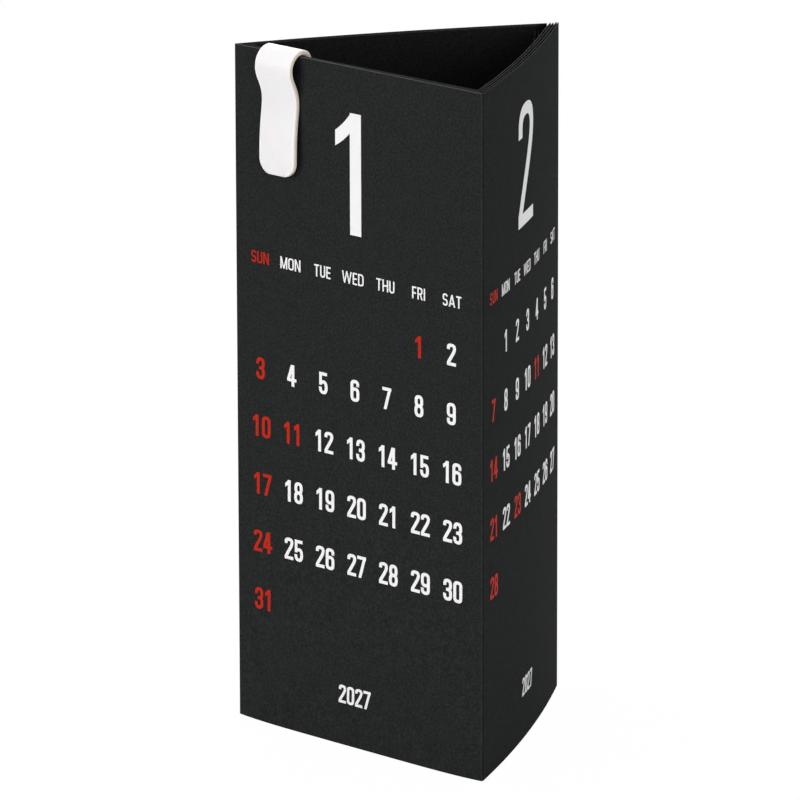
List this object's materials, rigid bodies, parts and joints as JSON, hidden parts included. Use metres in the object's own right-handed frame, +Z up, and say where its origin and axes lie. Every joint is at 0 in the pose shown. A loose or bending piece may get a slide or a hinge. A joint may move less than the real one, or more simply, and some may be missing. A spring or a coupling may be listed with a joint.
{
  "type": "desk calendar",
  "caption": "Three-sided standing desk calendar: nested creased card sheets that unfold flat, held at the front rim by a bent strip clip.",
  "frame": {"origin": "middle of the footprint, clip included, at the foot of the sheets", "axes": "+Z up along the column, front wall toward -Y, +X along the front wall to the viewer's right"},
  "size_m": [0.0706, 0.0644, 0.1467],
  "materials": {
    "black_card": "matt uncoated black card",
    "clip_plastic": "smooth satin white"
  },
  "bodies": {
    "front_leaf": {"january_panel": "black_card", "april_panel": "black_card", "july_panel": "black_card", "october_panel": "black_card"},
    "right_leaf_1": {"february_panel": "black_card"},
    "back_leaf_1": {"march_panel": "black_card"},
    "flap_leaf_1": {"first_quarter_flap": "black_card"},
    "right_leaf_2": {"may_panel": "black_card"},
    "back_leaf_2": {"june_panel": "black_card"},
    "flap_leaf_2": {"second_quarter_flap": "black_card"},
    "right_leaf_3": {"august_panel": "black_card"},
    "back_leaf_3": {"september_panel": "black_card"},
    "flap_leaf_3": {"third_quarter_flap": "black_card"},
    "right_leaf_4": {"november_panel": "black_card"},
    "back_leaf_4": {"december_panel": "black_card"},
    "flap_leaf_4": {"fourth_quarter_flap": "black_card"},
    "clip_body": {"clip": "clip_plastic"}
  },
  "joints": [
    {"name": "right_fold_1", "type": "hinge", "parent": "front_leaf", "child": "right_leaf_1", "pos_m": [0.03525, -0.02916, 0], "axis": [0, 0, -1], "range_deg": [0, 110]},
    {"name": "back_fold_1", "type": "hinge", "parent": "front_leaf", "child": "back_leaf_1", "pos_m": [-0.03525, -0.02916, 0], "axis": [0, 0, 1], "range_deg": [0, 110]},
    {"name": "flap_fold_1", "type": "hinge", "parent": "back_leaf_1", "child": "flap_leaf_1", "pos_m": [-0.00143, 0.02983, 0], "axis": [0, 0, 1], "range_deg": [0, 110]},
    {"name": "right_fold_2", "type": "hinge", "parent": "front_leaf", "child": "right_leaf_2", "pos_m": [0.0343, -0.02856, 0], "axis": [0, 0, -1], "range_deg": [0, 110]},
    {"name": "back_fold_2", "type": "hinge", "parent": "front_leaf", "child": "back_leaf_2", "pos_m": [-0.0343, -0.02856, 0], "axis": [0, 0, 1], "range_deg": [0, 110]},
    {"name": "flap_fold_2", "type": "hinge", "parent": "back_leaf_2", "child": "flap_leaf_2", "pos_m": [-0.00143, 0.02878, 0], "axis": [0, 0, 1], "range_deg": [0, 110]},
    {"name": "right_fold_3", "type": "hinge", "parent": "front_leaf", "child": "right_leaf_3", "pos_m": [0.03323, -0.02788, 0], "axis": [0, 0, -1], "range_deg": [0, 110]},
    {"name": "back_fold_3", "type": "hinge", "parent": "front_leaf", "child": "back_leaf_3", "pos_m": [-0.03323, -0.02788, 0], "axis": [0, 0, 1], "range_deg": [0, 110]},
    {"name": "flap_fold_3", "type": "hinge", "parent": "back_leaf_3", "child": "flap_leaf_3", "pos_m": [-0.00142, 0.02757, 0], "axis": [0, 0, 1], "range_deg": [0, 110]},
    {"name": "right_fold_4", "type": "hinge", "parent": "front_leaf", "child": "right_leaf_4", "pos_m": [0.03231, -0.0273, 0], "axis": [0, 0, -1], "range_deg": [0, 110]},
    {"name": "back_fold_4", "type": "hinge", "parent": "front_leaf", "child": "back_leaf_4", "pos_m": [-0.03231, -0.0273, 0], "axis": [0, 0, 1], "range_deg": [0, 110]},
    {"name": "flap_fold_4", "type": "hinge", "parent": "back_leaf_4", "child": "flap_leaf_4", "pos_m": [-0.00142, 0.02654, 0], "axis": [0, 0, 1], "range_deg": [0, 110]},
    {"name": "clip_lift", "type": "slide", "parent": "front_leaf", "child": "clip_body", "axis": [0, 0, 1], "range_m": [0, 0.04]}
  ],
  "couplings": [
    {"joint": "flap_fold_1", "follows": "back_fold_1", "ratio": 1},
    {"joint": "right_fold_2", "follows": "right_fold_1", "ratio": 1},
    {"joint": "back_fold_2", "follows": "back_fold_1", "ratio": 1},
    {"joint": "flap_fold_2", "follows": "back_fold_1", "ratio": 1},
    {"joint": "right_fold_3", "follows": "right_fold_1", "ratio": 1},
    {"joint": "back_fold_3", "follows": "back_fold_1", "ratio": 1},
    {"joint": "flap_fold_3", "follows": "back_fold_1", "ratio": 1},
    {"joint": "right_fold_4", "follows": "right_fold_1", "ratio": 1},
    {"joint": "back_fold_4", "follows": "back_fold_1", "ratio": 1},
    {"joint": "flap_fold_4", "follows": "back_fold_1", "ratio": 1}
  ]
}
